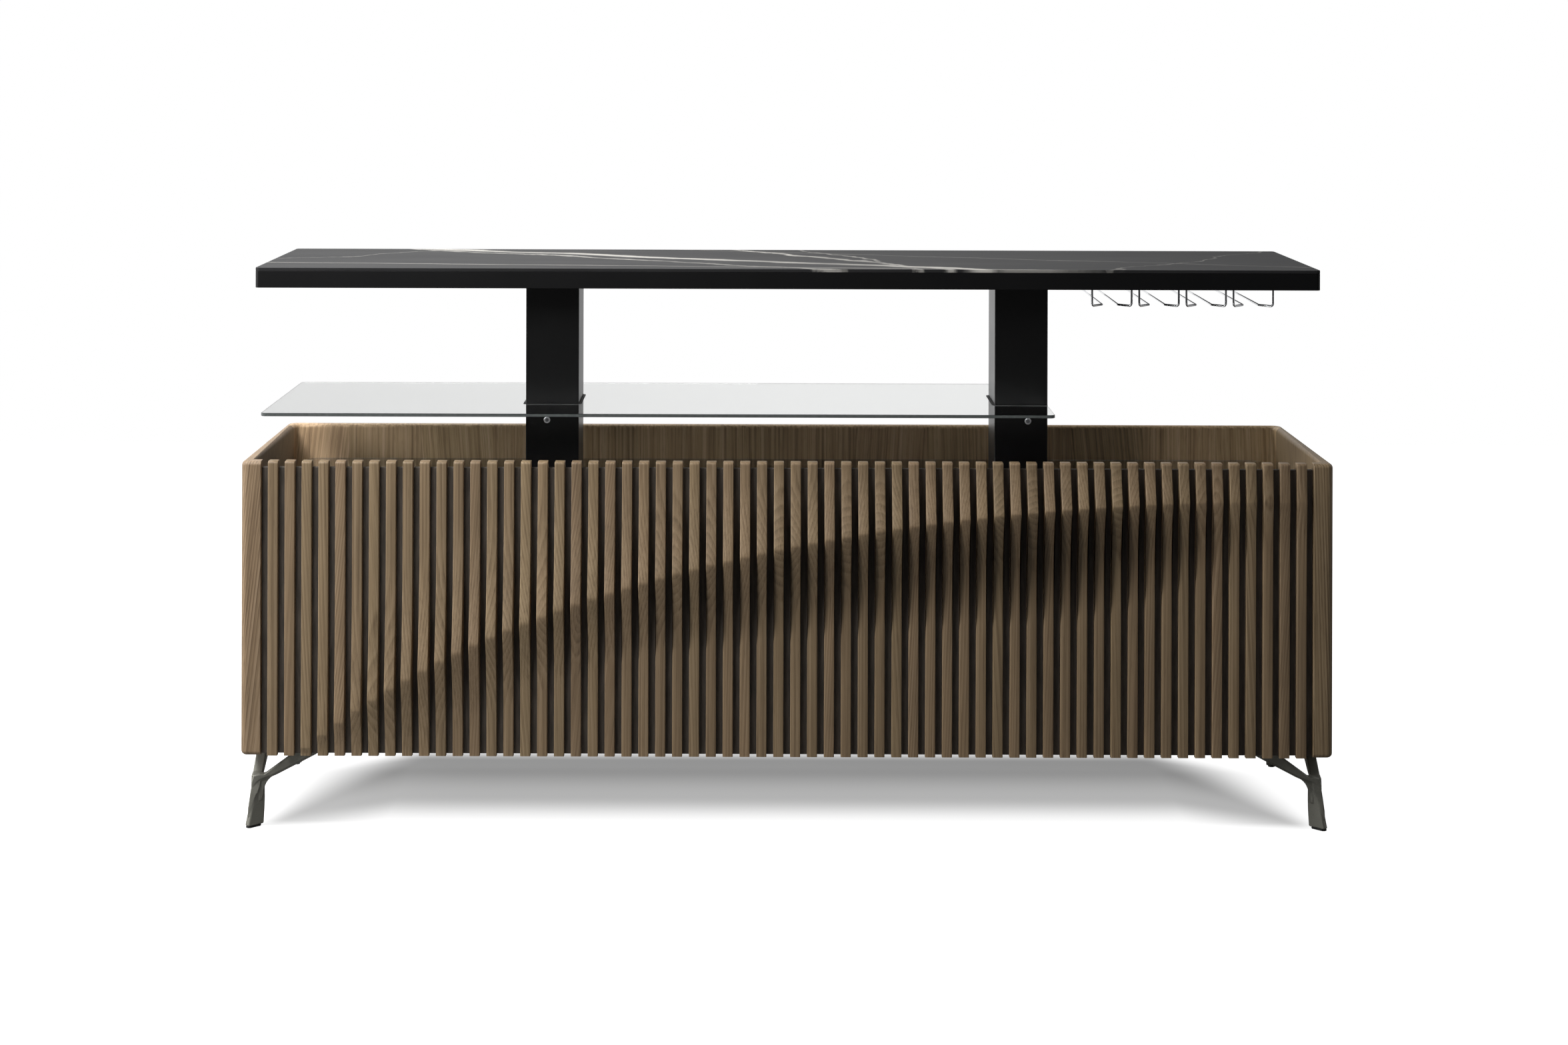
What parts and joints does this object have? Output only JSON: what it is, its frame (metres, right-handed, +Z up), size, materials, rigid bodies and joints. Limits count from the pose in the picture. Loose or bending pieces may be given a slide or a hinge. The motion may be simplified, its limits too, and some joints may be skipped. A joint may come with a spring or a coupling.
{
  "type": "bar sideboard",
  "caption": "Slatted oak sideboard on cast legs, with a bar top, glass shelves and stemware hangers that rise out of the case on lifting columns.",
  "frame": {"origin": "on the floor, under the middle of the whole object's box", "axes": "+Z up, +Y from the slatted front to the back, +X to the right as seen from the front"},
  "size_m": [2, 0.5274, 1.03],
  "materials": {
    "oak": "smoked oak veneer, matt lacquer, upright grain",
    "leg_metal": "cast, dark gunmetal, satin",
    "glide_plastic": "black",
    "bar_board": "black satin lacquer over board",
    "ceramic": "black with pale veins, satin",
    "column_coat": "black powder coat, satin",
    "zinc_steel": "zinc plated",
    "acetal": "white acetal",
    "clear_glass": "clear, polished edges",
    "black_rubber": "matt",
    "chrome": "polished",
    "black_housing": "moulded, fine texture"
  },
  "bodies": {
    "case": {"side_panel_left": "oak", "side_panel_right": "oak", "rear_post_left": "oak", "rear_post_right": "oak", "back_panel": "oak", "bottom_panel": "oak", "slatted_front": "oak", "leg_front_left": "leg_metal", "leg_front_right": "leg_metal", "leg_rear_left": "leg_metal", "leg_rear_right": "leg_metal", "glide_front_left": "glide_plastic", "glide_front_right": "glide_plastic", "glide_rear_left": "glide_plastic", "glide_rear_right": "glide_plastic", "lift_mast_left": "zinc_steel", "lift_mast_right": "zinc_steel", "mast_bush_left": "acetal", "mast_bush_right": "acetal", "gear_motor_left": "black_housing", "gear_motor_right": "black_housing", "control_box": "black_housing", "power_inlet": "black_housing"},
    "rack": {"top_board": "bar_board", "ceramic_top": "ceramic", "lift_column_left": "column_coat", "lift_column_right": "column_coat", "column_cap_left": "column_coat", "column_cap_right": "column_coat", "column_bush_left": "acetal", "column_bush_right": "acetal", "spindle_nut_left": "acetal", "spindle_nut_right": "acetal", "push_tube_left": "zinc_steel", "push_tube_right": "zinc_steel", "upper_glass_shelf": "clear_glass", "lower_glass_shelf": "clear_glass", "upper_gasket_left": "black_rubber", "upper_gasket_right": "black_rubber", "lower_gasket_left": "black_rubber", "lower_gasket_right": "black_rubber", "upper_rod_front_left": "chrome", "upper_rod_front_right": "chrome", "upper_rod_rear_left": "chrome", "upper_rod_rear_right": "chrome", "lower_rod_front_left": "chrome", "lower_rod_front_right": "chrome", "lower_rod_rear_left": "chrome", "lower_rod_rear_right": "chrome", "stem_hanger_1": "chrome", "stem_hanger_2": "chrome", "stem_hanger_3": "chrome", "stem_hanger_4": "chrome"},
    "spindle_left": {"spindle_left": "zinc_steel"},
    "spindle_right": {"spindle_right": "zinc_steel"}
  },
  "joints": [
    {"name": "rack_lift", "type": "slide", "parent": "case", "child": "rack", "axis": [0, 0, 1], "range_m": [-0.352, 0]},
    {"name": "spindle_turn_left", "type": "hinge", "parent": "case", "child": "spindle_left", "pos_m": [-0.443, -0.00675, 0.2517], "axis": [0, 0, 1], "range_deg": [-1, 7921]},
    {"name": "spindle_turn_right", "type": "hinge", "parent": "case", "child": "spindle_right", "pos_m": [0.443, -0.00675, 0.2517], "axis": [0, 0, 1], "range_deg": [-1, 7921]}
  ],
  "couplings": [
    {"joint": "spindle_turn_left", "follows": "rack_lift", "rad_per_m": -392.7},
    {"joint": "spindle_turn_right", "follows": "rack_lift", "rad_per_m": -392.7}
  ]
}
